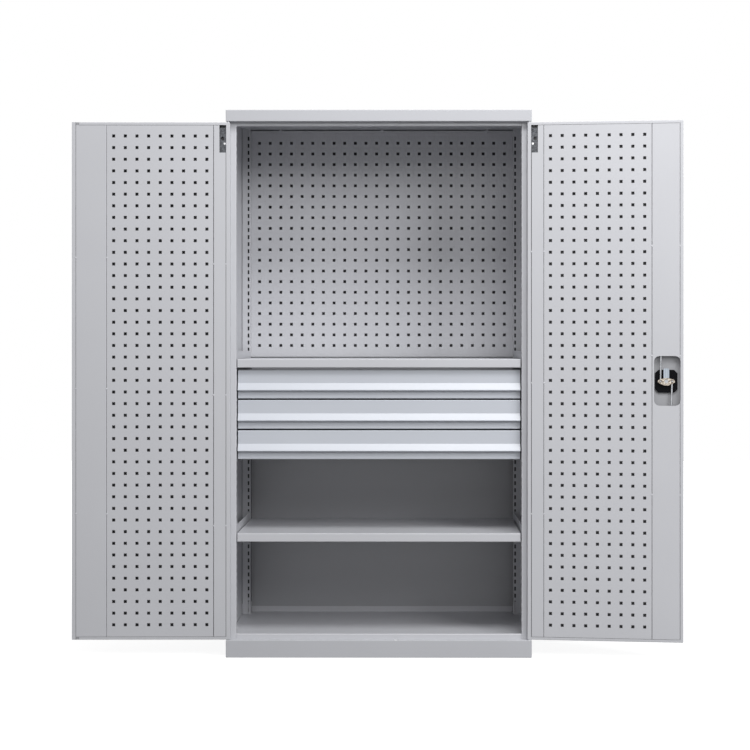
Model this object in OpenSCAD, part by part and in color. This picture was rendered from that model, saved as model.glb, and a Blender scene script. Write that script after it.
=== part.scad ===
// Workshop tool cabinet of folded sheet steel: two swing doors with perforated inner sheets,
// a perforated rear panel, three full-width drawers on telescopic slides, a cover shelf over
// them, one adjustable shelf and a rod lock in the right door.
// Millimetres. The origin is the centre of the footprint on the floor, +X to the right,
// +Y to the back and +Z up. Both doors stand open, as they do in the photograph.

/* [Carcass] */
// Overall width
cab_w = 1000; // [960:10:1040]
// Overall depth
cab_d = 500; // [500:10:540]
// Overall height
cab_h = 1790; // [1785:1:1810]
// Thickness of the carcass sheets
sheet_t = 1.2; // [1:0.1:1.3]
// Inside radius of a fold
fold_r = 1.5; // [1:0.5:2]
// Height of the top cap's skirt
cap_h = 38; // [36:1:42]
// Height of the plinth
plinth_h = 57; // [54:1:60]
// Depth of the ledges that the doors close under and over
ledge_d = 22; // [22:0.5:23]
// Height of the header rail's visible band under the cap
header_drop = 12; // [10:1:16]
// Height of the floor pan's front lip above the plinth
sill_h = 17; // [14:1:20]
// Drop from the front lip to the floor behind it
sill_drop = 10; // [6:1:12]

/* [Posts] */
// Width of each corner post's front face
post_w = 31; // [30:1:36]
// Depth of the front posts' notched return
post_return = 26; // [24:1:28]
// Distance from the front plane to the rear posts' front faces
rear_post_y = 448; // [440:1:450]
// Height of a slot
slot_h = 14; // [13:1:15]
// Vertical distance from slot to slot
slot_pitch = 25; // [25:1:28]
// Height of the lowest slot's lower edge above the floor
slot_low = 72; // [70:1:76]

/* [Perforation] */
// Side of a square hole
hole_side = 10; // [9:0.5:11]
// Distance from hole to hole
hole_pitch = 38; // [38:1:42]
// Least margin beside the outer holes' centres
margin_side = 20; // [18:0.5:21]
// Least margin above and below the outer holes' centres
margin_end = 25; // [24:0.5:27]
// Height of the rear panel's lower edge
rear_panel_low = 978; // [978:1:984]
// Height of the rear panel
rear_panel_h = 807; // [790:1:807]

/* [Shelves] */
// Height of the adjustable shelf's top
shelf_z = 403; // [380:1:428]
// Height of the cover shelf's top, over the drawers
cover_z = 975; // [972:1:976]
// Height of a shelf's front and rear lips
lip_h = 28; // [26:1:28]
// Distance from the front plane to a shelf's front lip
shelf_front = 25; // [25:1:30]
// Distance from the front plane to a shelf's rear edge
shelf_back = 444; // [420:1:446]
// Height of the support rails above a shelf's top
support_rise = 25; // [15:1:28]

/* [Drawers] */
// Height of a drawer front
drawer_h = 95; // [90:1:96]
// Vertical distance from drawer to drawer
drawer_pitch = 100; // [98:1:102]
// Height of the top drawer front's upper edge
drawer_top = 940; // [938:1:942]
// Distance from the front plane to the drawer fronts' upper faces
front_y = 43; // [43:0.5:44]
// How far the grip band stands forward at its lower edge
grip_out = 15; // [12:1:15]
// Height of a front's upper face, above the grip band
face_h = 44; // [40:1:46]
// Height of the sloping grip band
grip_h = 25; // [20:1:26]
// Height of a telescopic slide's outer member
slide_h = 45; // [44:1:46]

/* [Doors] */
// Angle from closed to the left door's stored position
left_open = 179.4; // [90:0.1:180]
// Angle from closed to the right door's stored position
right_open = 173.85; // [90:0.05:180]
// Thickness of the left door
left_door_t = 20; // [20:0.1:20.5]
// Thickness of the right door, which closes in front of the left door's overlap flange
right_door_t = 17.6; // [17:0.1:17.6]
// Thickness of the door sheets
door_sheet = 1; // [0.8:0.1:1]
// Pivot axis, in from the carcass's side
pivot_in = 7; // [7:0.5:8]
// Pivot axis, back from the front plane
pivot_back = 10; // [10:0.1:10.2]
// Diameter of the pivot pins
pivot_d = 8; // [6:0.5:8]
// Gap under the doors
door_gap_low = 2; // [2:0.5:3]
// Gap over the doors
door_gap_top = 3; // [3:0.5:5]
// Width of the rim along a door's hinge edge
hinge_rim = 12; // [11:0.5:12]
// Width of the rim along a door's other edges
edge_rim = 9; // [8:0.5:10]
// Width of the visible seam between two door sheets
seam = 1; // [0.8:0.1:1.2]
// Distance from the pivot axis to the near edge of the perforated sheet
sheet_start = 47.5; // [46:0.5:49]
// Distance from the pivot axis to the far edge of the perforated sheet
sheet_end = 395; // [394:0.5:396]
// Width of the left overlap flange beyond the door's edge wall
overlap = 23; // [20:1:23]
// Width of the pivot window in a hinge stile
window_w = 21; // [18:0.5:24]
// Height of the pivot window
window_h = 90; // [80:1:100]

/* [Lock] */
// Distance from the pivot axis to the lock's centre
lock_u = 442; // [440:0.5:442]
// Height of the lock's centre
lock_z = 904; // [890:1:920]
// Width of the cut-out round the lock
lock_cut_w = 85; // [83:0.5:85]
// Height of the cut-out
lock_cut_h = 161; // [140:1:180]
// Distance from the cam's centre to a rod's pin
crank_r = 18.5; // [17:0.5:19]
// Distance from the pivot axis to the rods' guided ends
rod_u = 436; // [435:0.5:437]
// Diameter of the lock rods
rod_d = 6; // [5:0.5:6]

/* [Hidden] */
$fn = 40;

// Clearances: between fixed sheets, and round a running pin
touch = 0.1;
pin_play = 0.05;

// Heights of the main levels
ceiling_z = cab_h - sheet_t;
cap_z = cab_h - cap_h;
sill_z = plinth_h + sill_h;
floor_z = sill_z - sill_drop;
door_low = plinth_h + door_gap_low;
door_high = cap_z - door_gap_top;

// Half widths: the shell's outside, the liner inside it, the bay, the shelves and the fronts
shell_x = cab_w / 2 - sheet_t;
liner_x = shell_x - sheet_t - touch;
bay_x = cab_w / 2 - post_w - sheet_t;
shelf_x = bay_x - 3.2;
front_x = bay_x - 3.2;
pivot_x = cab_w / 2 - pivot_in;

// The back panel lies inside the side panels' rear flanges
back_flange = 16;
back_out = cab_d - 2 * sheet_t - touch;
back_in = back_out - sheet_t;

// Slots: notches in the front posts' returns, closed slots in the rear posts' faces
notch_d = 20;
slot_w = 6;
slot_x = bay_x + 6.2;
front_slots = floor((cap_z - header_drop - slot_low - slot_h) / slot_pitch) + 1;
rear_slots = floor((ceiling_z - 5 - slot_low - slot_h) / slot_pitch) + 1;
side_return = 38;
rear_return = 20;

// Shelf supports and slide plates stand behind the front posts' returns
web_x = bay_x + sheet_t + touch;
web_front = ledge_d + 5;
web_back = rear_post_y - touch;
bracket_front = ledge_d + post_return + 1.5;
support_flange = 18;
support_horn = 11;
tab_h = 11;

// Drawers
tray_t = 1;
tray_front = front_y + 12;
tray_back = rear_post_y - 10;
tray_h = 78;
tray_lift = 6;

// Telescopic slides: how far in from the slide plate each member starts and ends
slide_depth = 12.7;
slide_front = tray_front + 0.5;
slide_back = rear_post_y - 3;
slide_sheet = 1.2;
slide_fold = 0.8;
slide_lift = 45;
outer_lip = 9.6;
middle_in = 2.3;
middle_out = 11.4;
middle_h = 34;
inner_in = 4.6;
inner_h = 24.4;
cage_t = 3.2;
tray_x = web_x - slide_depth;

// Perforated rear panel, behind the rear posts' returns
rear_panel_y = rear_post_y + rear_return + 2;
rear_panel_x = bay_x + 3.7;
rear_flange = 20;
rear_hole_shift = [0, -2];

// Door parts: u runs from the pivot axis to the free edge, v from the axis to the back
hinge_u = 0.5 - pivot_in;
left_edge_u = pivot_x - 7;
right_edge_u = pivot_x + 3.5;
lock_edge_rim = 10;
outer_v = -pivot_back;
left_v = left_door_t - pivot_back;
right_v = right_door_t - pivot_back;
stile_start = hinge_u + hinge_rim + seam;
left_stile_end = left_edge_u + 9.5;
right_stile_end = right_edge_u - lock_edge_rim - seam;
sheet_low = door_low + edge_rim + seam;
sheet_high = door_high - edge_rim - seam;
channel_v = outer_v + door_sheet + touch;
door_fold = 0.8;
panel_flange = 9;
hole_shift = [-0.75, 2];

// Hinge brackets and pins, measured from a door's top or bottom edge
bracket_h = 98;
bracket_w = 30;
bracket_t = 1.5;
bracket_top = 18;
bracket_drop = 7.5;
leaf_t = 3;
leaf_w = 14;
leaf_gap = 61;
leaf_drop = 3;
pin_in = 84;
pin_out = 6;
screw_at = [11, 69];
pilot_at = [18, 52];

// Lock: radii, and depths from the pivot axis
lock_cut_r = 17;
lock_cut_from = [-39.5, -79];
housing_r = 28;
bezel_r = 34;
bezel_v = outer_v - 4;
recess_r = 25;
recess_v = outer_v + 3;
plate_v = outer_v + 6.5;
plate_size = [72, 74];
plate_chamfer = 11;
handle_v = outer_v - 7;
grip_l = 46;
grip_w = 15;
disc_t = 3;
cylinder_r = 7;
spindle_r = 5;
square_w = 7;
screw_r = 2.5;
cam_v = 3.2;
cam_t = 2;
tongue_l = 42;
tongue_w = 18.4;

// Lock rods; their guides are slots, because the rods sway as the cam turns
rod_v = cam_v - touch - rod_d / 2;
rod_pin_d = 5;
rod_low_z = door_low + 0.4;
rod_high_z = door_high - 0.4;
rod_sway = 2;
rod_slot_half = 3.2;
ledge_hole_r = 7;
ledge_hole_shift = 1;
guide_in = 24;

// Colours
coat = [0.80, 0.81, 0.83];
coat_dark = [0.66, 0.67, 0.69];
zinc = [0.78, 0.79, 0.80];
black = [0.08, 0.08, 0.09];

// ---- Geometry shared by the folded parts ----

// A depth behind the front plane as a Y coordinate
function fy(depth) = depth - cab_d / 2;

function unit(v) = v / norm(v);
function left_of(v) = [-v[1], v[0]];
function turned(v, a) = [v[0] * cos(a) - v[1] * sin(a), v[0] * sin(a) + v[1] * cos(a)];
function turn_between(a, b) = atan2(a[0] * b[1] - a[1] * b[0], a * b);
function reversed(list) = [for (i = [len(list) - 1:-1:0]) list[i]];

// The arc of one fold at q, on the drawn face (side 0) or on the other face (side 1)
fold_steps = 4;
function fold_arc(p, q, s, t, r, side) =
  let (
    a = unit(q - p),
    sweep = turn_between(a, unit(s - q)),
    way = sign(sweep),
    drawn_r = way > 0 ? r : r + t,
    other_r = way > 0 ? r + t : r,
    own_r = side == 0 ? drawn_r : other_r,
    centre = q - a * drawn_r * tan(abs(sweep) / 2) + left_of(a) * way * drawn_r
  )
  [for (k = [0:fold_steps]) centre - way * own_r * turned(left_of(a), sweep * k / fold_steps)];

// One face of a folded sheet, with an arc at each inner corner of the path
function sheet_face(path, t, r, side) =
  let (
    last = len(path) - 1,
    a = unit(path[1] - path[0]),
    b = unit(path[last] - path[last - 1])
  )
  concat(
    [path[0] - left_of(a) * t * side],
    [for (i = [1:1:last - 1]) each fold_arc(path[i - 1], path[i], path[i + 1], t, r, side)],
    [path[last] - left_of(b) * t * side]
  );

// Outline of a sheet folded along a path; the sheet lies to the right of the drawn path
function folded(path, t = sheet_t, r = fold_r) =
  concat(sheet_face(path, t, r, 0), reversed(sheet_face(path, t, r, 1)));

// A folded sheet that runs along X from -half to +half; its path is given in Y and Z
module sheet_along_x(path, half, t = sheet_t, r = fold_r) {
  translate([-half, 0, 0]) rotate([90, 0, 90]) linear_extrude(2 * half) polygon(folded(path, t, r));
}

// A folded sheet that runs along Y between two depths; its path is given in X and Z
module sheet_along_y(path, y0, y1, t = sheet_t, r = fold_r) {
  translate([0, fy(y1), 0]) rotate([90, 0, 0]) linear_extrude(y1 - y0) polygon(folded(path, t, r));
}

// A folded sheet that stands from z0 to z1; its path is given in X and Y
module sheet_upright(path, z0, z1, t = sheet_t, r = fold_r) {
  translate([0, 0, z0]) linear_extrude(z1 - z0) polygon(folded(path, t, r));
}

// A box between two corners
module block(lo, hi) {
  translate(lo) cube(hi - lo);
}

// Points of a rectangle with round corners between lo and hi
corner_steps = 3;
function round_rect(lo, hi, r) = [
  for (c = [[hi[0] - r, hi[1] - r, 0], [lo[0] + r, hi[1] - r, 90],
            [lo[0] + r, lo[1] + r, 180], [hi[0] - r, lo[1] + r, 270]],
       k = [0:corner_steps])
    [c[0] + r * cos(c[2] + 90 * k / corner_steps), c[1] + r * sin(c[2] + 90 * k / corner_steps)]
];

// A box whose edges are folded round, as a crossing of three rounded profiles
module folded_box(lo, hi, r) {
  intersection() {
    translate([0, hi[1], 0]) rotate([90, 0, 0]) linear_extrude(hi[1] - lo[1])
      polygon(round_rect([lo[0], lo[2]], [hi[0], hi[2]], r));
    translate([lo[0], 0, 0]) rotate([90, 0, 90]) linear_extrude(hi[0] - lo[0])
      polygon(round_rect([lo[1], lo[2]], [hi[1], hi[2]], r));
    translate([0, 0, lo[2]]) linear_extrude(hi[2] - lo[2])
      polygon(round_rect([lo[0], lo[1]], [hi[0], hi[1]], r));
  }
}

// Children are drawn for the right side; side -1 mirrors them to the left
module on_side(side) {
  if (side > 0) children();
  else mirror([1, 0, 0]) children();
}

module on_both_sides() {
  children();
  mirror([1, 0, 0]) children();
}

// How many holes fit along a length with at least the given margin at both ends
function hole_fit(length, margin) = floor((length - 2 * margin) / hole_pitch) + 1;

// A flat sheet with rows of square holes; its middle is at the origin
module pierced_rect(w, h, shift = [0, 0]) {
  columns = hole_fit(w, margin_side);
  rows = hole_fit(h, margin_end);
  difference() {
    square([w, h], center = true);
    for (i = [0:columns - 1], j = [0:rows - 1])
      translate(shift + [(i - (columns - 1) / 2) * hole_pitch, (j - (rows - 1) / 2) * hole_pitch])
        square(hole_side, center = true);
  }
}

// ---- Carcass ----

// A tray of sheet: walls, a top rim with a front ledge, and a foot flange turned in below
module plinth() {
  rim = post_w + 3;
  foot = 25;
  foot_cut = 20;
  color(coat_dark) difference() {
    folded_box([-cab_w / 2, fy(0), 0], [cab_w / 2, fy(cab_d), plinth_h], 2);
    block([-shell_x, fy(sheet_t), sheet_t], [shell_x, fy(cab_d - sheet_t), plinth_h - sheet_t]);
    block([rim - cab_w / 2, fy(ledge_d + 12), foot_cut], [cab_w / 2 - rim, fy(cab_d - rim), cab_h]);
    block([foot - cab_w / 2, fy(foot), -1], [cab_w / 2 - foot, fy(cab_d - foot), foot_cut]);
    for (s = [-1, 1])
      translate([s * pivot_x, fy(pivot_back), foot_cut]) cylinder(r = pivot_d / 2 + pin_play, h = 60);
    translate([pivot_x - rod_u - ledge_hole_shift, fy(pivot_back), foot_cut])
      cylinder(r = ledge_hole_r, h = 60);
  }
}

// The floor with its folded front lip and rear upstand; wings fill the corners behind the posts
module floor_pan() {
  lip_back = ledge_d + 14;
  upstand = 20;
  rear = back_in - sheet_t - touch;
  wing_x = liner_x - sheet_t - touch;
  color(coat) union() {
    sheet_along_x(
      [[fy(ledge_d), plinth_h], [fy(ledge_d), sill_z], [fy(lip_back), sill_z],
       [fy(lip_back), floor_z], [fy(rear), floor_z], [fy(rear), floor_z + upstand]],
      bay_x - touch
    );
    on_both_sides()
      block([bay_x - 1, fy(bracket_front), floor_z - sheet_t], [wing_x, fy(rear_post_y - 2), floor_z]);
  }
}

// A side sheet with a narrow flange along its back edge
module side_panel(side) {
  back = fy(cab_d - sheet_t);
  color(coat) on_side(side)
    sheet_upright([[shell_x - back_flange, back], [shell_x, back], [shell_x, fy(ledge_d)]],
                  plinth_h, ceiling_z);
}

module left_side_panel() { side_panel(-1); }
module right_side_panel() { side_panel(1); }

// The back sheet stops short of the folds that its edges lie in
module back_panel() {
  half = liner_x - fold_r;
  color(coat)
    block([-half, fy(back_in), plinth_h], [half, fy(back_out), ceiling_z]);
}

// An upturned tray; its front edge returns as the ledge over the doors
module top_cap() {
  color(coat) difference() {
    folded_box([-cab_w / 2, fy(0), cap_z], [cab_w / 2, fy(cab_d), cab_h], 2);
    block([-shell_x, fy(sheet_t), cap_z + sheet_t], [shell_x, fy(cab_d - sheet_t), ceiling_z]);
    block([-shell_x, fy(ledge_d - touch), cap_z - 1], [shell_x, fy(cab_d - sheet_t), cap_z + 5]);
    for (s = [-1, 1])
      translate([s * pivot_x, fy(pivot_back), cap_z - 1]) cylinder(r = pivot_d / 2 + pin_play, h = 4);
    translate([pivot_x - rod_u + ledge_hole_shift, fy(pivot_back), cap_z - 1])
      cylinder(r = ledge_hole_r, h = 4);
  }
}

// A channel between the front posts, showing as a narrow band under the cap
module header_rail() {
  low = cap_z - header_drop;
  high = ceiling_z - touch;
  color(coat) sheet_along_x(
    [[fy(ledge_d + 25), low], [fy(ledge_d), low], [fy(ledge_d), high], [fy(ledge_d + 20), high]],
    bay_x - touch
  );
}

// A post's profile: a flange against the side, the face, and a return into the cabinet
function post_path(face, side_depth, return_depth) =
  [[liner_x, fy(face + side_depth)], [liner_x, fy(face)], [bay_x, fy(face)],
   [bay_x, fy(face + return_depth)]];

// A front post; notches in its return's rear edge take the shelf supports
module front_post(side) {
  edge = ledge_d + post_return;
  color(coat) on_side(side) difference() {
    sheet_upright(post_path(ledge_d, side_return, post_return), plinth_h, ceiling_z);
    for (i = [0:front_slots - 1])
      translate([bay_x - 1, fy(edge - notch_d), slot_low + i * slot_pitch])
        cube([4, notch_d + 1, slot_h]);
  }
}

module left_front_post() { front_post(-1); }
module right_front_post() { front_post(1); }

// A rear post; slots in its face take the supports' hooks
module rear_post(side) {
  side_depth = back_in - rear_post_y - touch;
  color(coat) on_side(side) difference() {
    sheet_upright(post_path(rear_post_y, side_depth, rear_return), plinth_h, ceiling_z);
    for (i = [0:rear_slots - 1])
      translate([slot_x - slot_w / 2, fy(rear_post_y - 1), slot_low + i * slot_pitch])
        cube([slot_w, 4, slot_h]);
  }
}

module left_rear_post() { rear_post(-1); }
module right_rear_post() { rear_post(1); }

// The perforated panel at the back of the upper bay, with flanges along its upright edges
module rear_perforated_panel() {
  mid_z = rear_panel_low + rear_panel_h / 2;
  color(coat) union() {
    translate([0, fy(rear_panel_y + sheet_t), mid_z]) rotate([90, 0, 0]) linear_extrude(sheet_t)
      pierced_rect(2 * rear_panel_x, rear_panel_h, rear_hole_shift);
    on_both_sides()
      block([rear_panel_x - sheet_t, fy(rear_panel_y + sheet_t / 2), rear_panel_low],
            [rear_panel_x, fy(rear_panel_y + rear_flange), rear_panel_low + rear_panel_h]);
  }
}

// ---- Shelves and what carries them ----

// A shelf with hemmed lips at the front and back, and flanges down its sides
module shelf(top) {
  hem = 12;
  low = top - lip_h;
  color(coat) union() {
    sheet_along_x(
      [[fy(shelf_front + hem), low], [fy(shelf_front), low], [fy(shelf_front), top],
       [fy(shelf_back), top], [fy(shelf_back), low], [fy(shelf_back - hem), low]],
      shelf_x
    );
    on_both_sides()
      block([shelf_x - sheet_t, fy(shelf_front + 2), low],
            [shelf_x, fy(shelf_back - 2), top - sheet_t / 2]);
  }
}

module adjustable_shelf() { shelf(shelf_z); }
module drawer_cover_shelf() { shelf(cover_z); }

// The first slot whose lower edge is at or above a height
function slot_above(z) = slot_low + slot_pitch * ceil((z - slot_low) / slot_pitch);

// A tab that fills a notch of the front post, flush with its inner face
module notch_tab(z) {
  block([bay_x + touch, fy(ledge_d + post_return - notch_d + touch), z + touch],
        [web_x + sheet_t / 2, fy(bracket_front - 1), z + tab_h]);
}

// A hook that passes through a slot of the rear post and drops behind it
module slot_hook(z) {
  half = slot_w / 2 - 0.7;
  nose = 3;
  behind = rear_post_y + sheet_t + touch;
  block([slot_x - half, fy(web_back - 1), z + touch], [slot_x + half, fy(behind + 2), z + tab_h]);
  block([slot_x - half, fy(behind), z - nose], [slot_x + half, fy(behind + 2), z + tab_h]);
}

// A rail hooked to both posts: a web, a shelf flange turned in and a rear flange turned out
module support(side, top) {
  carry = top - lip_h;
  low = carry + fold_r + sheet_t;
  high = top + support_rise;
  first = slot_above(carry);
  rear_x = slot_x + slot_w;
  color(coat) on_side(side) union() {
    sheet_along_y([[bay_x - support_flange, carry], [web_x, carry], [web_x, high]],
                  bracket_front, web_back);
    block([web_x, fy(web_front), low], [web_x + sheet_t, fy(bracket_front + 1), high]);
    block([web_x, fy(web_front), high - 1],
          [web_x + sheet_t, fy(bracket_front + 20), high + support_horn]);
    block([web_x, fy(web_back - sheet_t), low], [rear_x, fy(web_back), high]);
    notch_tab(first);
    notch_tab(first + slot_pitch);
    slot_hook(first);
  }
}

module left_shelf_support() { support(-1, shelf_z); }
module right_shelf_support() { support(1, shelf_z); }
module left_cover_support() { support(-1, cover_z); }
module right_cover_support() { support(1, cover_z); }

// The plate that carries three slides, hooked to both posts under the cover support
module slide_plate(side) {
  low = drawer_top - 3 * drawer_pitch;
  high = cover_z - lip_h - sheet_t - 1;
  first = slot_above(low);
  hook_step = 5 * slot_pitch;
  color(coat) on_side(side) union() {
    block([web_x, fy(web_front), low], [web_x + sheet_t, fy(web_back), high]);
    block([web_x, fy(web_back - sheet_t), low], [slot_x + slot_w, fy(web_back), high]);
    for (k = [0:2]) {
      notch_tab(first + k * hook_step);
      slot_hook(first + k * hook_step);
    }
  }
}

module left_slide_plate() { slide_plate(-1); }
module right_slide_plate() { slide_plate(1); }

// ---- Drawers, counted from the top ----

function front_low(n) = drawer_top - (n - 1) * drawer_pitch - drawer_h;
function slide_z(n) = front_low(n) + slide_lift;

// A C-shaped slide member that opens into the cabinet, from start to end off the plate
module slide_member(z, start, end, height) {
  x0 = web_x - start;
  x1 = web_x - end;
  half = height / 2;
  sheet_along_y([[x1, z + half], [x0, z + half], [x0, z - half], [x1, z - half]],
                slide_front, slide_back, slide_sheet, slide_fold);
}

module outer_slides(n) {
  color(zinc) on_both_sides()
    slide_member(slide_z(n), 0, outer_lip, slide_h);
}

// The middle members with the ball cages that run between them and the outer members
module middle_slides(n) {
  cage_z = (slide_h / 2 - slide_sheet + middle_h / 2) / 2;
  cage = [4, 90, cage_t];
  color(zinc) on_both_sides() {
    slide_member(slide_z(n), middle_in, middle_out, middle_h);
    for (s = [-1, 1])
      translate([web_x - outer_lip + 1.5, fy(slide_front + 20), slide_z(n) + s * cage_z - cage_t / 2])
        cube(cage);
  }
}

// The inner members, whose backs lie on the tray's sides
module inner_slides(n) {
  x0 = web_x - inner_in;
  z = slide_z(n);
  half = inner_h / 2;
  color(zinc) on_both_sides()
    sheet_along_y([[x0, z - half], [tray_x, z - half], [tray_x, z + half], [x0, z + half]],
                  slide_front, slide_back, slide_sheet, slide_fold);
}

module tray(n) {
  low = front_low(n) + tray_lift;
  high = low + tray_h;
  color(coat) difference() {
    block([-tray_x, fy(tray_front), low], [tray_x, fy(tray_back), high]);
    block([tray_t - tray_x, fy(tray_front + tray_t), low + tray_t],
          [tray_x - tray_t, fy(tray_back - tray_t), high + 1]);
  }
}

// A drawer front folded from one sheet: recessed foot, under-grip, sloping band and face
module drawer_front(n) {
  low = front_low(n);
  top = low + drawer_h;
  face_low = top - face_h;
  grip_low = face_low - grip_h;
  rear = tray_front - touch;
  path = [[fy(rear), low], [fy(front_y), low], [fy(front_y), grip_low],
          [fy(front_y - grip_out), grip_low], [fy(front_y), face_low],
          [fy(front_y), top], [fy(rear), top]];
  color(coat) union() {
    sheet_along_x(path, front_x, tray_t);
    on_both_sides() translate([front_x - tray_t, 0, 0]) rotate([90, 0, 90]) linear_extrude(tray_t)
      polygon(sheet_face(path, tray_t, fold_r, 0));
  }
}

module drawer_1_outer_slides() { outer_slides(1); }
module drawer_2_outer_slides() { outer_slides(2); }
module drawer_3_outer_slides() { outer_slides(3); }
module drawer_1_middle_slides() { middle_slides(1); }
module drawer_2_middle_slides() { middle_slides(2); }
module drawer_3_middle_slides() { middle_slides(3); }
module drawer_1_inner_slides() { inner_slides(1); }
module drawer_2_inner_slides() { inner_slides(2); }
module drawer_3_inner_slides() { inner_slides(3); }
module drawer_1_tray() { tray(1); }
module drawer_2_tray() { tray(2); }
module drawer_3_tray() { tray(3); }
module drawer_1_front() { drawer_front(1); }
module drawer_2_front() { drawer_front(2); }
module drawer_3_front() { drawer_front(3); }

// ---- Doors ----

// Places a door's local u, v, z frame at its stored angle
module left_door() {
  translate([-pivot_x, fy(pivot_back), 0]) rotate([0, 0, -left_open]) children();
}

module right_door() {
  translate([pivot_x, fy(pivot_back), 0]) rotate([0, 0, right_open]) mirror([1, 0, 0]) children();
}

// Washers that carry the doors on the plinth's ledge
module pivot_washers() {
  color(zinc) on_both_sides() translate([pivot_x, fy(pivot_back), plinth_h]) difference() {
    cylinder(r = pivot_d / 2 + 2.5, h = door_gap_low);
    translate([0, 0, -1]) cylinder(r = pivot_d / 2 + pin_play, h = door_gap_low + 2);
  }
}

// The outer pan: skin, four edge walls and a rim turned in round the inner face
module door_pan(edge_u, top_v, rim_u) {
  s = door_sheet;
  difference() {
    folded_box([hinge_u, outer_v, door_low], [edge_u, top_v, door_high], s + door_fold);
    block([hinge_u + s, outer_v + s, door_low + s], [edge_u - s, top_v - s, door_high - s]);
    block([hinge_u + hinge_rim, top_v - 1.5 * s, door_low + edge_rim],
          [rim_u, top_v + 1, door_high - edge_rim]);
    translate([0, 0, door_low - 1])
      cylinder(r = pivot_d / 2 + pin_play, h = door_high - door_low + 2);
  }
}

// The left pan carries a doubled flange that the right door closes over
module left_door_pan() {
  flange = [[left_edge_u - door_sheet, left_v - 2 * door_sheet], [left_edge_u + overlap, left_v]];
  color(coat) left_door() union() {
    door_pan(left_edge_u, left_v, left_edge_u + 1);
    translate([0, 0, door_low]) linear_extrude(door_high - door_low) difference() {
      polygon(round_rect(flange[0], flange[1], door_fold));
      translate([0, left_v - door_sheet]) square([left_stile_end + seam, 2]);
    }
  }
}

// The cut-out round the lock, as a 2-D shape in u and z
module lock_window() {
  low = [lock_u, lock_z] + lock_cut_from;
  polygon(round_rect(low, low + [lock_cut_w, lock_cut_h], lock_cut_r));
}

// A prism over a shape in u and z that runs from depth v0 to v1
module through_door(v0, v1) {
  translate([0, v1, 0]) rotate([90, 0, 0]) linear_extrude(v1 - v0) children();
}

// The slot that a lock rod sways in, as a 2-D shape in u and v
module rod_slot(sway) {
  r = rod_d / 2 + 0.2;
  reach = rod_slot_half + r;
  polygon(round_rect([rod_u + sway - reach, rod_v - r], [rod_u + sway + reach, rod_v + r], r));
}

module right_door_pan() {
  color(coat) right_door() difference() {
    door_pan(right_edge_u, right_v, right_edge_u - lock_edge_rim);
    through_door(right_v - 1.5 * door_sheet, right_v + 1) lock_window();
    translate([lock_u, outer_v - 1, lock_z]) rotate([-90, 0, 0]) cylinder(r = housing_r, h = 3);
    translate([0, 0, door_high - 2]) linear_extrude(4) rod_slot(-rod_sway);
    translate([0, 0, door_low - 2]) linear_extrude(4) rod_slot(rod_sway);
  }
}

// An inner sheet folded as a channel whose flanges reach the skin
module door_channel(path) {
  sheet_upright(path, sheet_low, sheet_high, door_sheet, door_fold);
}

module stile(u0, u1, top_v) {
  door_channel([[u0, channel_v], [u0, top_v], [u1, top_v], [u1, channel_v]]);
}

// The hinge stile is open round the top pivot, and notched inside round both brackets
module hinge_stile(top_v) {
  window_top = sheet_high + 1;
  inside = bracket_w + 2;
  notch = bracket_h + 4;
  difference() {
    stile(stile_start, sheet_start - seam, top_v);
    block([stile_start - 1, channel_v - 1, window_top - window_h],
          [stile_start + window_w, top_v + 1, window_top]);
    for (z = [door_low, door_high - notch])
      block([stile_start - 1, channel_v - 1, z], [inside, top_v - door_sheet, z + notch]);
  }
}

module left_hinge_stile() {
  color(coat) left_door() hinge_stile(left_v);
}

module right_hinge_stile() {
  color(coat) right_door() hinge_stile(right_v);
}

// The left free stile lies on the overlap flange
module left_overlap_stile() {
  start = sheet_end + seam;
  color(coat) left_door()
    door_channel([[start, channel_v], [start, left_v], [left_stile_end, left_v]]);
}

module right_lock_stile() {
  color(coat) right_door() difference() {
    stile(sheet_end + seam, right_stile_end, right_v);
    through_door(outer_v, right_v + 1) lock_window();
  }
}

// A perforated sheet with flanges turned in along its upright edges
module perforated_sheet(top_v) {
  w = sheet_end - sheet_start;
  h = sheet_high - sheet_low;
  middle = [(sheet_start + sheet_end) / 2, top_v, (sheet_low + sheet_high) / 2];
  union() {
    translate(middle) rotate([90, 0, 0]) linear_extrude(door_sheet)
      pierced_rect(w, h, hole_shift);
    for (u = [sheet_start, sheet_end - door_sheet])
      block([u, top_v - panel_flange, sheet_low], [u + door_sheet, top_v - door_sheet / 2, sheet_high]);
  }
}

module left_perforated_sheet() {
  color(coat) left_door() perforated_sheet(left_v);
}

module right_perforated_sheet() {
  color(coat) right_door() perforated_sheet(right_v);
}

// Places children at a door's top edge and, turned over, at its bottom edge
module at_both_ends() {
  translate([0, 0, door_high]) children();
  translate([0, 0, door_low]) mirror([0, 0, 1]) children();
}

// A plate deep in the pivot window, beside the pin, with two leaves that the pin runs through
module hinge_bracket(top_v) {
  u0 = hinge_u + door_sheet + touch;
  face = top_v - bracket_drop;
  difference() {
    union() {
      block([pivot_d / 2 + 1, face - bracket_t, -bracket_h], [bracket_w, face, -bracket_top]);
      for (z = [-bracket_top - leaf_t, -bracket_top - leaf_t - leaf_gap])
        block([u0, channel_v, z], [leaf_w, top_v - leaf_drop, z + leaf_t]);
    }
    translate([0, 0, -bracket_h - 1]) cylinder(r = pivot_d / 2 + pin_play, h = bracket_h + 2);
    translate([screw_at[0], face - 4, -screw_at[1]]) rotate([-90, 0, 0]) cylinder(r = 2.05, h = 6);
    translate([pilot_at[0], face - 4, -pilot_at[1]]) rotate([-90, 0, 0]) cylinder(r = 5.5, h = 6);
  }
}

module pivot_pin() {
  translate([0, 0, -pin_in]) cylinder(r = pivot_d / 2, h = pin_in + pin_out);
}

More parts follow.
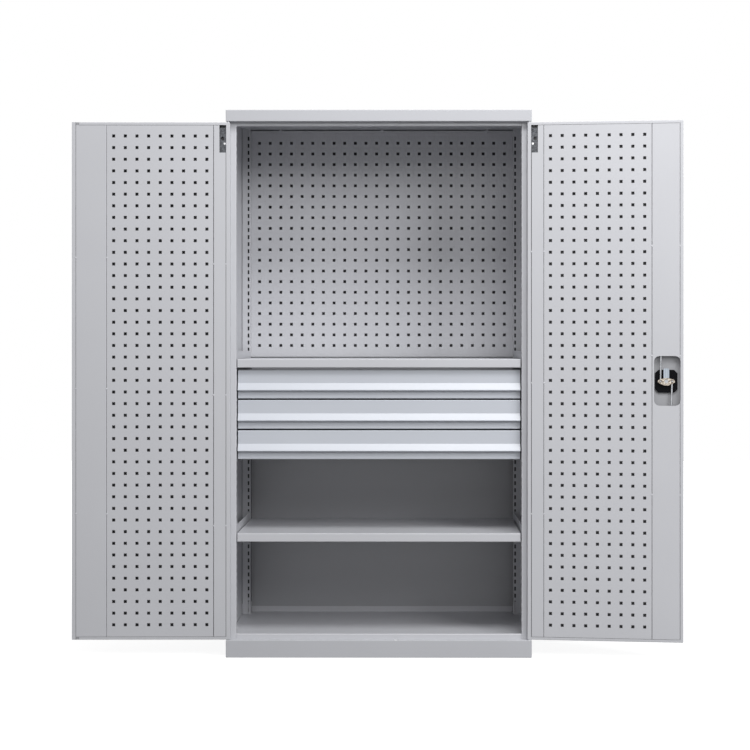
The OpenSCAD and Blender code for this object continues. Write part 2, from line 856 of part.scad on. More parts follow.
// The screw in the pivot window
module hinge_screw(top_v) {
  face = top_v - bracket_drop;
  translate([screw_at[0], face, door_high - screw_at[1]]) rotate([-90, 0, 0]) {
    cylinder(r = 3.5, h = 2);
    translate([0, 0, -5]) cylinder(r = 2, h = 5);
  }
}

module left_hinge_brackets() {
  color(coat_dark) left_door() at_both_ends() hinge_bracket(left_v);
}

module left_pivot_pins() {
  color(zinc) left_door() at_both_ends() pivot_pin();
}

module left_hinge_screw() {
  color(zinc) left_door() hinge_screw(left_v);
}

module right_hinge_brackets() {
  color(coat_dark) right_door() at_both_ends() hinge_bracket(right_v);
}

module right_pivot_pins() {
  color(zinc) right_door() at_both_ends() pivot_pin();
}

module right_hinge_screw() {
  color(zinc) right_door() hinge_screw(right_v);
}

// ---- Lock ----

// Places a shape drawn about the lock's axis: u across, z up, and depth v along the axis
module at_lock() {
  right_door() translate([lock_u, 0, lock_z]) children();
}

// A cylinder along the lock's axis between two depths
module lock_round(r, v0, v1) {
  translate([0, v0, 0]) rotate([-90, 0, 0]) cylinder(r = r, h = v1 - v0);
}

// A square bar along the lock's axis between two depths
module lock_square(w, v0, v1) {
  block([-w / 2, v0, -w / 2], [w / 2, v1, w / 2]);
}

// Brackets inside the door that keep the rods' ends on line
module rod_guides() {
  half_w = 12;
  foot = [1.5, 18];
  color(zinc) right_door() for (end = [-1, 1]) {
    z = end > 0 ? door_high - guide_in : door_low + guide_in - leaf_t;
    difference() {
      union() {
        block([rod_u - half_w, channel_v, z], [rod_u + half_w, right_v - 2, z + leaf_t]);
        block([rod_u - half_w, channel_v, z - foot[1] / 2],
              [rod_u + half_w, channel_v + foot[0], z + foot[1] / 2]);
      }
      translate([0, 0, z - 1]) linear_extrude(leaf_t + 2) rod_slot(-end * rod_sway);
    }
  }
}

// The outer bezel, the neck through the skin and the dish that the handle sits in
module lock_housing() {
  color(black) at_lock() difference() {
    union() {
      lock_round(bezel_r, bezel_v, outer_v - touch);
      lock_round(housing_r - touch, bezel_v, plate_v);
    }
    lock_round(recess_r, bezel_v - 1, recess_v);
    lock_round(spindle_r + pin_play, recess_v - 1, plate_v + 1);
  }
}

// The plate behind the skin that holds the housing
module lock_backplate() {
  w = plate_size[0] / 2;
  h = plate_size[1] / 2;
  c = plate_chamfer;
  low_v = outer_v + door_sheet + touch;
  color(black) at_lock() difference() {
    through_door(low_v, plate_v)
      polygon([[-w, c - h], [c - w, -h], [w - c, -h], [w, c - h],
               [w, h - c], [w - c, h], [c - w, h], [-w, h - c]]);
    lock_round(housing_r, low_v - 1, plate_v + 1);
  }
}

// The turn handle: a disc, a grip bar, and the spindle that drives the cam
module lock_handle() {
  disc_v = recess_v - touch;
  half = [grip_w, grip_l] / 2;
  color(black) at_lock() difference() {
    union() {
      lock_round(recess_r - 0.5, disc_v - disc_t, disc_v);
      through_door(handle_v, disc_v - 1) polygon(round_rect(-half, half, 5));
      lock_round(cylinder_r + 4, handle_v, disc_v - 1);
      lock_round(spindle_r, disc_v - 1, cam_v - pin_play);
      lock_square(square_w, cam_v - 1, cam_v + cam_t);
    }
    lock_round(cylinder_r + pin_play, handle_v - 1, disc_v - disc_t);
    lock_round(screw_r + pin_play, cam_v - 11, cam_v + cam_t + 1);
  }
}

module key_cylinder() {
  face = handle_v - 0.6;
  color(zinc) at_lock() difference() {
    lock_round(cylinder_r, face, recess_v - disc_t - 2 * touch);
    block([-0.6, face - 1, -3.5], [0.6, face + 5, 3.5]);
  }
}

// The cam: two wings with the rods' pin holes and a tongue that points up when unlocked
module lock_cam() {
  t = tongue_w / 2;
  wing = 27.5;
  top = 9;
  bottom = -13.5;
  color(zinc) at_lock() difference() {
    through_door(cam_v, cam_v + cam_t) polygon([
      [-wing, -3], [-wing, 2], [-21, 6.5], [-t, top], [-t, tongue_l - 3], [3 - t, tongue_l],
      [t - 3, tongue_l], [t, tongue_l - 3], [t, top], [21, 6.5], [wing, 2], [wing, -3],
      [20, -8], [6, bottom], [-6, bottom], [-20, -8]
    ]);
    for (s = [-1, 1])
      translate([s * crank_r, 0, 0])
        lock_round(rod_pin_d / 2 + pin_play, cam_v - 1, cam_v + cam_t + 1);
    lock_square(square_w + touch, cam_v - 1, cam_v + cam_t + 1);
  }
}

module cam_screw() {
  face = cam_v + cam_t;
  color(zinc) at_lock() difference() {
    union() {
      lock_round(6, face + pin_play, face + 2);
      lock_round(screw_r, cam_v - 10, face + 1);
    }
    for (a = [0, 90]) rotate([0, a, 0]) block([-3, face + 1, -0.6], [3, face + 3, 0.6]);
  }
}

// A rod from its bent end, which is the pin in the cam, to its guided tip
module lock_rod(start_u, tip_z) {
  reach = tip_z - lock_z;
  lean = atan((rod_u - start_u) / reach);
  length = abs(reach) / cos(lean);
  color(zinc) right_door() translate([start_u, 0, lock_z]) union() {
    translate([0, rod_v, 0]) rotate([0, reach > 0 ? lean : 180 + lean, 0])
      cylinder(r = rod_d / 2, h = length);
    lock_round(rod_d / 2, rod_v - rod_d / 2, cam_v - touch);
    lock_round(rod_pin_d / 2, rod_v, cam_v + cam_t + 0.8);
  }
}

module upper_lock_rod() { lock_rod(lock_u - crank_r, rod_high_z); }
module lower_lock_rod() { lock_rod(lock_u + crank_r, rod_low_z); }

plinth();
floor_pan();
left_side_panel();
right_side_panel();
back_panel();
top_cap();
header_rail();
left_front_post();
right_front_post();
left_rear_post();
right_rear_post();
rear_perforated_panel();
adjustable_shelf();
drawer_cover_shelf();
left_shelf_support();
right_shelf_support();
left_cover_support();
right_cover_support();
left_slide_plate();
right_slide_plate();
drawer_1_outer_slides();
drawer_2_outer_slides();
drawer_3_outer_slides();
drawer_1_middle_slides();
drawer_2_middle_slides();
drawer_3_middle_slides();
drawer_1_inner_slides();
drawer_2_inner_slides();
drawer_3_inner_slides();
drawer_1_tray();
drawer_2_tray();
drawer_3_tray();
drawer_1_front();
drawer_2_front();
drawer_3_front();
pivot_washers();
left_door_pan();
left_hinge_stile();
left_perforated_sheet();
left_overlap_stile();
left_hinge_brackets();
left_pivot_pins();
left_hinge_screw();
right_door_pan();
right_hinge_stile();
right_perforated_sheet();
right_lock_stile();
right_hinge_brackets();
right_pivot_pins();
right_hinge_screw();
rod_guides();
lock_housing();
lock_backplate();
lock_handle();
key_cylinder();
lock_cam();
cam_screw();
upper_lock_rod();
lower_lock_rod();
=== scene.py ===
import math

import bpy
import numpy as np
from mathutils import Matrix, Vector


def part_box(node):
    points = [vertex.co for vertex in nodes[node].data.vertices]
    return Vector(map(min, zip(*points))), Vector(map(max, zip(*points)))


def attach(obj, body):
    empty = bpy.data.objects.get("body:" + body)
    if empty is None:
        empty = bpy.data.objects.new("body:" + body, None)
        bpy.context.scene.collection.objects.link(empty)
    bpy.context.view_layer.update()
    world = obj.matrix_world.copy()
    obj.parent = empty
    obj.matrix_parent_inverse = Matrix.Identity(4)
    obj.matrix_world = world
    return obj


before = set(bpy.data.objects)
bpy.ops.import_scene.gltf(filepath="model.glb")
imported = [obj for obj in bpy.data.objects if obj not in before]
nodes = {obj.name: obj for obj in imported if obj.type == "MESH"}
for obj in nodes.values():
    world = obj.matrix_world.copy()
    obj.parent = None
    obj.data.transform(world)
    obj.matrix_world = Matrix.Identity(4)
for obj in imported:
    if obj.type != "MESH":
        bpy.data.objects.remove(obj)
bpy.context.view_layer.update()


# The plinth: a folded ring of coated sheet steel, welded at its corners, that the whole cabinet
# stands on. Its flange lies on the floor, and its ledge carries the lower pivot of each door.
def new_finish(name):
    """A material, its tree of shader steps, and the place on the piece that patterns follow."""
    finish = bpy.data.materials.new(name)
    finish.use_nodes = True
    tree = finish.node_tree
    return finish, tree, tree.nodes.new("ShaderNodeTexCoord").outputs["Object"]


def feed(step, inputs):
    """Sets each input of a shader step to its value, or links it where the value is an output of
    an earlier step. An earlier step by itself stands for its first output."""
    links = step.id_data.links
    for socket, value in inputs.items():
        if isinstance(value, bpy.types.Node):
            value = value.outputs[0]
        if isinstance(value, bpy.types.NodeSocket):
            links.new(value, step.inputs[socket])
        else:
            step.inputs[socket].default_value = value
    return step


def shader_step(tree, kind, inputs, operation=None):
    """Adds a shader step of that kind, with its operation where it has one, and feeds it."""
    step = tree.nodes.new("ShaderNode" + kind)
    if operation:
        step.operation = operation
    return feed(step, inputs)


def ramp(tree, source, start, end, over=(0, 1)):
    """Carries the source in a straight line from the range over to the range from start to end,
    and holds it within that."""
    return shader_step(tree, "MapRange", {"Value": source, "From Min": over[0],
                                          "From Max": over[1], "To Min": start, "To Max": end})


def powder_coat(name, colour, painted_shade_boxes=(), pivot=(0, 0, 0), turn=0):
    """A satin powder coat. Its colour drifts by cloud over about 0.4 m and by a third of that in
    grains under a millimetre, and its surface rolls in an orange peel about 1.5 mm across. The
    given boxes are painted shade: each is (low corner, high corner, share), and inside it only
    that share of the colour is left. A place is turned by turn degrees about the upright line
    through pivot before it is compared with the boxes, and it is inside one where
    max |place - centre| / half is below 1."""
    cloud, peel = 0.02, 0.02
    noise_range, box_edge = (0.3, 0.7), (0.9999, 1.0001)
    coating, tree, place = new_finish(name)
    drift = shader_step(tree, "TexNoise", {"Vector": place, "Scale": 2.6, "Detail": 2})
    grain = shader_step(tree, "TexNoise", {"Vector": place, "Scale": 1900, "Detail": 1})
    broad = ramp(tree, drift, 1 - cloud, 1 + cloud, noise_range)
    fine = ramp(tree, grain, 1 - cloud / 3, 1 + cloud / 3, noise_range)
    tone = shader_step(tree, "Math", {0: broad, 1: fine}, "MULTIPLY")
    turned = tree.nodes.new("ShaderNodeVectorRotate")
    turned.rotation_type = "Z_AXIS"
    feed(turned, {"Vector": place, "Center": pivot, "Angle": math.radians(turn)})
    # Painted shade: inside each box the colour is cut down to its share.
    for low, high, share in painted_shade_boxes:
        centre, half = (np.array(high) + low) / 2, (np.array(high) - low) / 2
        offset = shader_step(tree, "VectorMath", {0: turned, 1: centre.tolist()}, "SUBTRACT")
        distance = shader_step(tree, "VectorMath", {0: offset}, "ABSOLUTE")
        measure = shader_step(tree, "VectorMath", {0: distance, 1: half.tolist()}, "DIVIDE")
        x, y, z = shader_step(tree, "SeparateXYZ", {"Vector": measure}).outputs
        flat = shader_step(tree, "Math", {0: x, 1: y}, "MAXIMUM")
        farthest = shader_step(tree, "Math", {0: flat, 1: z}, "MAXIMUM")
        left = ramp(tree, farthest, share, 1, box_edge)
        tone = shader_step(tree, "Math", {0: tone, 1: left}, "MULTIPLY")
    tint = shader_step(tree, "VectorMath", {0: colour, "Scale": tone}, "SCALE")
    haze = shader_step(tree, "TexNoise", {"Vector": place, "Scale": 420, "Detail": 3})
    waves = shader_step(tree, "TexNoise", {"Vector": place, "Scale": 650, "Detail": 2,
                                           "Roughness": 0.55})
    rolls = shader_step(tree, "Bump", {"Height": waves, "Strength": peel, "Distance": 0.0006})
    feed(tree.nodes["Principled BSDF"], {
        "Base Color": tint, "Roughness": ramp(tree, haze, 0.34, 0.42, noise_range),
        "Normal": rolls, "IOR": 1.5})
    return coating


def finish_nodes(finish, *names):
    """Gives each named CAD node that one material."""
    for name in names:
        mesh = nodes[name].data
        mesh.materials.clear()
        mesh.materials.append(finish)


frame_coat = powder_coat("frame_coat", (0.46, 0.466, 0.494))
finish_nodes(frame_coat, "plinth")


# The floor pan, the two folded sides and the back: the bare box of the cabinet, whose sheets are
# spot welded to the posts. Its coat's colour is cut down as painted shade behind the perforated
# panel, at the back of the bays and in the hollows of the rear posts.
light_grey = (0.5, 0.505, 0.533)
post_x, side_x = 0.469, 0.4985  # the inner and the outer end of a rear post's hollow
post_y, panel_y = 0.1985, 0.2206  # the front of that hollow, and the middle of the panel's sheet
sheet_y, back_y = 0.2455, 0.2469  # just before the back's sheet, and the middle of that sheet
bay_z, post_z, cover_z, ceiling_z = 0.05, 0.1, 0.98, 1.7885
# Shares of the colour left in the boxes of painted shade: behind the perforated panel, at the back
# of the bays and in the hollows of the rear posts.
panel_share, bay_share, post_share = 0.32, 0.68, 0.1
coat = powder_coat("light_grey_coat", light_grey, (
    ((-post_x, panel_y, cover_z), (post_x, back_y, ceiling_z), panel_share),
    ((-post_x, sheet_y, bay_z), (post_x, back_y, cover_z), bay_share),
    ((-side_x, post_y, post_z), (-post_x, back_y, ceiling_z), post_share),
    ((post_x, post_y, post_z), (side_x, back_y, ceiling_z), post_share)))
finish_nodes(coat, "floor_pan", "left_side_panel", "right_side_panel", "back_panel")


# The cap and the rail under it: two folded sheets that close the box at the top. The cap's
# front lip hangs over the doors, and its ledge holds their upper pivots.
finish_nodes(frame_coat, "top_cap")
finish_nodes(coat, "header_rail")


# The four posts: folded channels punched with a row of slots, which carry everything that
# hangs inside. The front ones are notched like a comb along their inner edge.
finish_nodes(coat, "left_front_post", "right_front_post", "left_rear_post", "right_rear_post")


# The perforated panel at the back of the upper bay: one sheet with square holes for tool
# hooks, tacked to the ceiling by three small welds that were painted over with it.
def new_piece(name, points, faces, finish):
    """A piece of its own from its points, its faces as rows of point numbers, and its material."""
    mesh = bpy.data.meshes.new(name)
    mesh.from_pydata(points.tolist(), [], faces)
    mesh.materials.append(finish)
    piece = bpy.data.objects.new(name, mesh)
    bpy.context.scene.collection.objects.link(piece)
    return piece


def weld_beads(name, places, along, out, size):
    """Flat drops of weld metal at the given places, as one piece. A drop is an ellipsoid whose
    half axes are size: along the bead, across it, and outwards. Its surface point is
    (cos t cos f, sin t cos f, sin f) times size for t all round and f from pole to pole."""
    turns, rings = 16, 7
    along = np.array(along) / np.linalg.norm(along)
    out = np.array(out) / np.linalg.norm(out)
    axes = np.array([along, np.cross(out, along), out]) * np.array(size)[:, None]
    t, f = np.meshgrid(np.arange(turns) * 2 * np.pi / turns,
                       np.linspace(-np.pi / 2, np.pi / 2, rings + 2)[1:-1])
    ball = np.stack([np.cos(t) * np.cos(f), np.sin(t) * np.cos(f), np.sin(f)], -1).reshape(-1, 3)
    drop = np.vstack([ball, [[0, 0, -1], [0, 0, 1]]]) @ axes
    row, column = np.meshgrid(np.arange(rings - 1), np.arange(turns), indexing="ij")
    here, beside = row * turns + column, row * turns + (column + 1) % turns
    walls = np.stack([here, beside, beside + turns, here + turns], -1).reshape(-1, 4)
    around = np.arange(turns)
    after = (around + 1) % turns
    last = (rings - 1) * turns
    inner_pole, outer_pole = np.full(turns, len(ball)), np.full(turns, len(ball) + 1)
    inner_end = np.stack([after, around, inner_pole], -1)
    outer_end = np.stack([last + around, last + after, outer_pole], -1)
    faces = []
    for first in range(0, len(places) * len(drop), len(drop)):
        for patch in (walls, inner_end, outer_end):
            faces += (patch + first).tolist()
    welds = new_piece(name, np.vstack([drop + place for place in places]), faces, coat)
    welds.data.shade_smooth()
    return welds


finish_nodes(coat, "rear_perforated_panel")
panel_low, panel_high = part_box("rear_perforated_panel")
tack_inset, tack_size = 0.001, (0.006, 0.0035, 0.002)
tacks = [(x, panel_low[1] + tack_inset, panel_high[2] + tack_inset) for x in (-0.362, 0, 0.375)]
welds = weld_beads("rear_panel_welds", tacks, (1, 0, 0), (0, -1, 0), tack_size)
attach(welds, "cabinet")


# The two shelves, the angles that carry them and the plates behind the drawer slides: folded
# sheet steel, hooked into the notches and slots of the posts.
finish_nodes(coat, "adjustable_shelf", "drawer_cover_shelf", "left_shelf_support",
             "right_shelf_support", "left_cover_support", "right_cover_support",
             "left_slide_plate", "right_slide_plate")


# The slides of the drawers: rolled channels of zinc-plated steel that telescope in three
# members, with balls between them.
def plated_steel(name, colour, rough, spangle=0.08, scale=140):
    """Zinc-plated steel: metal whose tone changes from crystal to crystal by spangle, and whose
    polish changes along fine lines of rolling that run from front to back."""
    plating, tree, place = new_finish(name)
    crystal = shader_step(tree, "TexVoronoi", {"Vector": place, "Scale": scale})
    grey = shader_step(tree, "SeparateColor", {"Color": crystal.outputs["Color"]})
    stretch = shader_step(tree, "Mapping", {"Vector": place, "Scale": (900, 60, 900)})
    lines = shader_step(tree, "TexNoise", {"Vector": stretch, "Scale": 1, "Detail": 2})
    tone = ramp(tree, grey, 1 - spangle, 1 + spangle)
    tint = shader_step(tree, "VectorMath", {0: colour, "Scale": tone}, "SCALE")
    scratch = shader_step(tree, "Bump", {"Height": lines, "Strength": 0.12, "Distance": 0.0002})
    feed(tree.nodes["Principled BSDF"], {
        "Base Color": tint, "Roughness": ramp(tree, lines, rough - 0.06, rough + 0.08),
        "Normal": scratch, "Metallic": 1})
    return plating


slide_zinc = plated_steel("slide_zinc", (0.6, 0.61, 0.62), 0.34)
for drawer in (1, 2, 3):
    for member in ("outer", "middle", "inner"):
        finish_nodes(slide_zinc, f"drawer_{drawer}_{member}_slides")


# The three drawers: a folded tray and a folded front with a sloping grip band, all coated.
# Both ends of each front carry a black cap with a plastic grain that follows its profile:
# painted shade, a dark piece where there is only the shadow of the narrow gap between the
# front's end and the post.
def grained_plastic(name, colour):
    """Black moulded plastic: a fine leather grain about half a millimetre across."""
    plastic, tree, place = new_finish(name)
    grain = shader_step(tree, "TexNoise", {"Vector": place, "Scale": 1600, "Detail": 3})
    tone = ramp(tree, grain, 0.7, 1.4)
    tint = shader_step(tree, "VectorMath", {0: colour, "Scale": tone}, "SCALE")
    pores = shader_step(tree, "Bump", {"Height": grain, "Strength": 0.25, "Distance": 0.0002})
    feed(tree.nodes["Principled BSDF"], {
        "Base Color": tint, "Roughness": 0.5, "Specular IOR Level": 0.05, "Normal": pores})
    return plastic


def shade_end_caps(name, low, high, grip_out, face_height, grip_height):
    """The pair of caps of one drawer front, whose box runs from low to high: black pieces that
    stand as painted shade in the gaps at the front's ends. The outline is the front's own profile
    in depth and height. Each corner moves out by proud (a + b) / (1 + a.b), where a and b are the
    outward normals of the two edges that meet there. The outline is carried along X from lap
    inside the front's end to past beyond it."""
    proud, lap, past = 0.0005, 0.001, 0.0026
    rear, face_y = high[1], low[1] + grip_out
    top, foot = high[2], low[2]
    fold = top - face_height
    outline = np.array([(rear, foot), (face_y, foot), (face_y, fold - grip_height),
                        (low[1], fold - grip_height), (face_y, fold), (face_y, top), (rear, top)])
    edge = np.roll(outline, -1, 0) - outline
    normal = np.column_stack([-edge[:, 1], edge[:, 0]]) / np.linalg.norm(edge, axis=1)[:, None]
    before = np.roll(normal, 1, 0)
    grown = outline + proud * (before + normal) / (1 + (before * normal).sum(1))[:, None]
    corners = len(grown)
    around = np.arange(corners)
    after = (around + 1) % corners
    walls = np.stack([around, after, after + corners, around + corners], -1).tolist()
    ends = [around[::-1].tolist(), (around + corners).tolist()]
    points, faces = [], []
    for side in (-1, 1):
        first = len(points) * corners
        for x in (side * (high[0] - lap), side * (high[0] + past)):
            points.append(np.column_stack([np.full(corners, x), grown]))
        for loop in walls + ends:
            faces.append([corner + first for corner in loop[::-side]])
    caps = new_piece(name, np.vstack(points), faces, black_plastic)
    soften = caps.modifiers.new("soft_edges", "BEVEL")
    soften.width = 0.0004
    soften.segments = 2
    return caps


# Black plastic for the lock; on the drawer ends the same black is painted shade.
black_plastic = grained_plastic("black_plastic", (0.003, 0.003, 0.004))
front_coat = powder_coat("front_coat", (0.49, 0.512, 0.56))
for drawer in (1, 2, 3):
    finish_nodes(coat, f"drawer_{drawer}_tray")
    finish_nodes(front_coat, f"drawer_{drawer}_front")
    front_low, front_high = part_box(f"drawer_{drawer}_front")
    # Painted shade: black caps at both ends of the front, where the gap beside the post lies in
    # shadow.
    caps = shade_end_caps(f"drawer_{drawer}_shade_end_caps", front_low, front_high,
                    grip_out=0.015, face_height=0.044, grip_height=0.025)
    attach(caps, f"drawer_{drawer}")


# The doors: a shallow pan of sheet steel, closed on the inside by a plain strip at each side
# and a perforated sheet between them. The coat's colour is cut down in the pocket behind these,
# as painted shade that makes the holes read dark, and along the outer seam of the left door,
# as a painted shadow line.
pivot_x, pivot_y = 0.493, -0.24
opened = {-1: 179.4, 1: 173.85}  # degrees from closed, for the left and the right door
inner_face = {-1: 0.010, 1: 0.0076}  # depth of the strips' and the sheet's face from the pivot
pan_low, pan_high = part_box("left_door_pan")


def door_zone(side, across, depth, trim, share):
    """A box of painted shade in a door that is turned flat, at 180 degrees from closed. It reaches
    over the two distances of across from the pivot and the two of depth from the pivot's axis,
    and stops trim short of the pan's foot and head."""
    ends = sorted(side * (pivot_x + reach) for reach in across)
    return ((ends[0], pivot_y - depth[1], pan_low[2] + trim),
            (ends[1], pivot_y - depth[0], pan_high[2] - trim), share)


sheet_start, strip_start, seam, seam_depth = -0.005, 0.395, (0.4952, 0.4966), (0.0085, 0.0102)
skin, under_face, trim = -0.0096, 0.0004, 0.0015
# Shares of the colour left in the door's painted shade: the two parts of the pocket behind the
# strips and the sheet, and the painted shadow line in the left door's outer seam.
sheet_share, strip_share, seam_share = 0.22, 0.6, 0.3
for side, name, strip_end, free_stile in ((-1, "left", 0.4963, "left_overlap_stile"),
                                          (1, "right", 0.4855, "right_lock_stile")):
    pocket = (skin, inner_face[side] - under_face)
    zones = [door_zone(side, (sheet_start, strip_start), pocket, trim, sheet_share),
             door_zone(side, (strip_start, strip_end), pocket, trim, strip_share)]
    if name == "left":
        zones.append(door_zone(side, seam, seam_depth, 0, seam_share))
    door_coat = powder_coat(f"{name}_door_coat", light_grey, zones,
                            (side * pivot_x, pivot_y, 0), side * (180 - opened[side]))
    finish_nodes(door_coat, f"{name}_door_pan", f"{name}_hinge_stile",
                 f"{name}_perforated_sheet", free_stile)


# The welds of the doors: small drops along the seams of the strips and the sheet, coated with
# the door. The left door's flange lies over the right door's outer seam when both are closed,
# so the drops there are nearly flat.
def door_place(side, across, depth, height):
    """A point of an open door, from its distance across from the pivot, its depth behind the
    pivot's axis and its height: that distance and depth turned by the door's angle."""
    turn = math.radians(opened[side])
    x = -across * math.cos(turn) - depth * math.sin(turn)
    y = -across * math.sin(turn) + depth * math.cos(turn)
    return np.array((side * (pivot_x + x), pivot_y + y, height))


hinge_seam, near_seam, far_seam = 0.006, 0.0473, 0.3952
half_length, half_width, bead_rise, flat_rise = 0.0032, 0.0028, 0.0009, 0.00025
for side, name, edge_seam, edge_rise, edge_heights, hinge_heights in (
        (-1, "left_door", 0.496, bead_rise, (1.306, 0.878, 0.470), (1.286, 0.858, 0.431)),
        (1, "right_door", 0.486, flat_rise, (1.342, 0.987, 0.537), (1.326, 0.898, 0.470))):
    foot = door_place(side, 0, 0, 0)
    along = door_place(side, 1, 0, 0) - foot
    out = door_place(side, 0, 1, 0) - foot
    for seam_name, seams, heights, rise in (
            ("edge", (edge_seam,), edge_heights, edge_rise),
            ("far", (far_seam,), edge_heights, bead_rise),
            ("hinge", (hinge_seam, near_seam), hinge_heights, bead_rise)):
        places = [door_place(side, seam, inner_face[side], z) for seam in seams for z in heights]
        welds = weld_beads(f"{name}_{seam_name}_welds", places, along, out,
                           (half_length, half_width, rise))
        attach(welds, name)


# The pivots: pins that turn in the ledges of the cap and the plinth, each held by a zinc
# bracket that shows in a window of the door.
bright_zinc = plated_steel("bright_zinc", (0.44, 0.45, 0.47), 0.26, spangle=0.12)
bracket_zinc = plated_steel("bracket_zinc", (0.09, 0.094, 0.102), 0.42, spangle=0.35, scale=220)
screw_zinc = plated_steel("screw_zinc", (0.88, 0.88, 0.9), 0.2)
finish_nodes(bright_zinc, "pivot_washers", "left_pivot_pins", "right_pivot_pins", "rod_guides")
finish_nodes(screw_zinc, "left_hinge_screw", "right_hinge_screw")
finish_nodes(bracket_zinc, "left_hinge_brackets", "right_hinge_brackets")


# The lock: a black moulded housing through the right door with a swivel handle outside, and
# inside it a stamped cam, yellow-passivated on its wings, that draws the two locking rods.
def passivated_zinc(name, across, centre, pin_reach):
    """The cam's finish. Metal that is bluish on the tongue, above tongue_z over the centre, and
    straw-coloured on the wings, cloudy over a few millimetres. Along the tongue run pale and dark
    stripes 5.2 mm apart, painted light and shade for its shallow stamped grooves, and round each
    rod's pin lies a dark ring, painted shade for the pin's hole."""
    tongue_z, groove_pitch, pin_ring = 0.0105, 0.0052, 0.0042
    brown, straw = (0.13, 0.10, 0.075, 1), (0.62, 0.57, 0.5, 1)
    dark_blue, pale_blue = (0.25, 0.29, 0.34, 1), (0.42, 0.455, 0.5, 1)
    pin_shade_brown = (0.10, 0.075, 0.06, 1)
    plating, tree, place = new_finish(name)

    def calc(operation, *values):
        return shader_step(tree, "Math", dict(enumerate(values)), operation)

    def blend(factor, first, second):
        mixed = tree.nodes.new("ShaderNodeMix")
        mixed.data_type = "RGBA"
        return feed(mixed, {0: factor, 6: first, 7: second}).outputs[2]

    offset = shader_step(tree, "VectorMath", {0: place, 1: centre}, "SUBTRACT")
    dot = shader_step(tree, "VectorMath", {0: offset, 1: across}, "DOT_PRODUCT")
    side = dot.outputs["Value"]
    rise = shader_step(tree, "SeparateXYZ", {"Vector": offset}).outputs["Z"]
    cloud = shader_step(tree, "TexNoise", {"Vector": place, "Scale": 230, "Detail": 3})
    wings = blend(ramp(tree, cloud, 0, 1, (0.38, 0.62)), brown, straw)
    # Painted light and shade: upright pale and dark stripes on the tongue, for its shallow stamped
    # grooves.
    groove_shading = calc("COSINE", calc("MULTIPLY", side, 2 * math.pi / groove_pitch))
    tongue = blend(calc("MULTIPLY_ADD", groove_shading, 0.5, 0.5), dark_blue, pale_blue)
    plate = blend(calc("GREATER_THAN", rise, tongue_z), wings, tongue)
    # Painted shade: a dark ring round each rod's pin, for the shadow in its hole.
    from_pin = calc("SUBTRACT", calc("ABSOLUTE", side), pin_reach)
    squares = calc("MULTIPLY", from_pin, from_pin), calc("MULTIPLY", rise, rise)
    pin_shade = calc("LESS_THAN", calc("SQRT", calc("ADD", *squares)), pin_ring)
    feed(tree.nodes["Principled BSDF"], {
        "Base Color": blend(pin_shade, plate, pin_shade_brown), "Roughness": ramp(tree, cloud, 0.25, 0.45),
        "Metallic": 1})
    return plating


finish_nodes(black_plastic, "lock_housing", "lock_backplate", "lock_handle")
cam_across, cam_depth, cam_height, pin_reach = 0.442, 0.004, 0.904, 0.0185
door_line = door_place(1, 1, 0, 0) - door_place(1, 0, 0, 0)
cam_centre = door_place(1, cam_across, cam_depth, cam_height)
cam_zinc = passivated_zinc("cam_zinc", door_line.tolist(), cam_centre.tolist(), pin_reach)
finish_nodes(cam_zinc, "lock_cam")
finish_nodes(bright_zinc, "cam_screw", "upper_lock_rod", "lower_lock_rod", "key_cylinder")


# The surroundings: a plain white floor, a white room, three large soft lamps and the camera.
# The floor and the room are dimmer for the light that they throw on the cabinet than to the eye.
def seen_directly(tree):
    """1 where a ray comes from the camera or off something shiny, and otherwise 0."""
    path = tree.nodes.new("ShaderNodeLightPath").outputs
    eye_or_gloss = shader_step(tree, "Math", {0: path["Is Camera Ray"], 1: path["Is Glossy Ray"]},
                               "MAXIMUM")
    return shader_step(tree, "Math", {0: eye_or_gloss, 1: path["Is Transmission Ray"]}, "MAXIMUM")


def show(tree, end, unseen, seen):
    """Ends the tree with the look unseen for the light thrown, and seen where it is looked at."""
    choice = shader_step(tree, "MixShader", {0: seen_directly(tree), 1: unseen, 2: seen})
    feed(tree.nodes[end], {"Surface": choice})


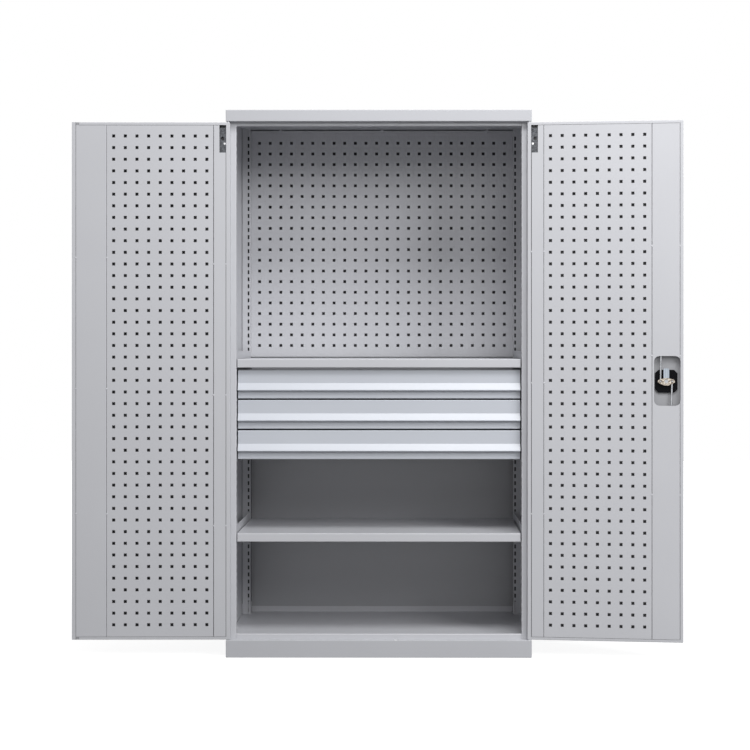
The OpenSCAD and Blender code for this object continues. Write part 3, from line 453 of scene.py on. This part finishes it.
floor_half, floor_z = 8, -0.0005
floor_paint, tree, place = new_finish("white_floor")
tree.nodes.remove(tree.nodes["Principled BSDF"])
thrown = shader_step(tree, "BsdfDiffuse", {"Color": (0.16, 0.16, 0.16, 1)})
reach = shader_step(tree, "VectorMath", {0: place}, "LENGTH").outputs["Value"]
glow = shader_step(tree, "Emission", {"Strength": ramp(tree, reach, 0.82, 1, (0.9, 2.2))})
dimmed = shader_step(tree, "BsdfDiffuse", {"Color": (0.5, 0.5, 0.5, 1)})
show(tree, "Material Output", thrown, shader_step(tree, "AddShader", {0: dimmed, 1: glow}))
corners = np.array([(-1, -1, 0), (1, -1, 0), (1, 1, 0), (-1, 1, 0)]) * floor_half
floor = new_piece("floor", corners + (0, 0, floor_z), [(0, 1, 2, 3)], floor_paint)

world = bpy.data.worlds.new("white_room")
bpy.context.scene.world = world
world.use_nodes = True
tree = world.node_tree
room = feed(tree.nodes["Background"], {"Color": (1, 1, 1, 1), "Strength": 0.4})
white = shader_step(tree, "Background", {"Color": (1, 1, 1, 1), "Strength": 1})
show(tree, "World Output", room, white)


def softbox(name, azimuth, elevation, power):
    """A rectangular lamp, lamp_reach from the middle of the cabinet's front, azimuth degrees to
    its right and elevation degrees up. It faces aim, a point a little inside the cabinet."""
    lamp_reach, width, height = 5.5, 2.2, 1.6
    front, aim = np.array((0, -0.25, 0.9)), np.array((0, -0.2, 0.9))
    a, e = math.radians(azimuth), math.radians(elevation)
    way = np.array((math.sin(a) * math.cos(e), -math.cos(a) * math.cos(e), math.sin(e)))
    light = bpy.data.lights.new(name, "AREA")
    light.shape = "RECTANGLE"
    light.size = width
    light.size_y = height
    light.energy = power
    lamp = bpy.data.objects.new(name, light)
    lamp.location = front + lamp_reach * way
    x, y, z = aim - front - lamp_reach * way
    lamp.rotation_euler = (math.atan2(math.hypot(x, y), -z), 0, math.atan2(-x, y))
    bpy.context.scene.collection.objects.link(lamp)


softbox("near_high", 12, 56, 189)
softbox("right_key", 48, 24, 140)
softbox("front_low", 12, 24, 39)

eye = bpy.data.cameras.new("photo_eye")
eye.sensor_width = 36
eye.lens = 73.95
eye.shift_x = -0.04788
eye.shift_y = -0.04553
camera = bpy.data.objects.new("photo_eye", eye)
camera.location = (0.123, -5.2805, 1.035)
camera.rotation_euler = (math.pi / 2, 0, math.radians(0.204))
bpy.context.scene.collection.objects.link(camera)
bpy.context.scene.camera = camera
bpy.context.scene.view_settings.view_transform = "Standard"
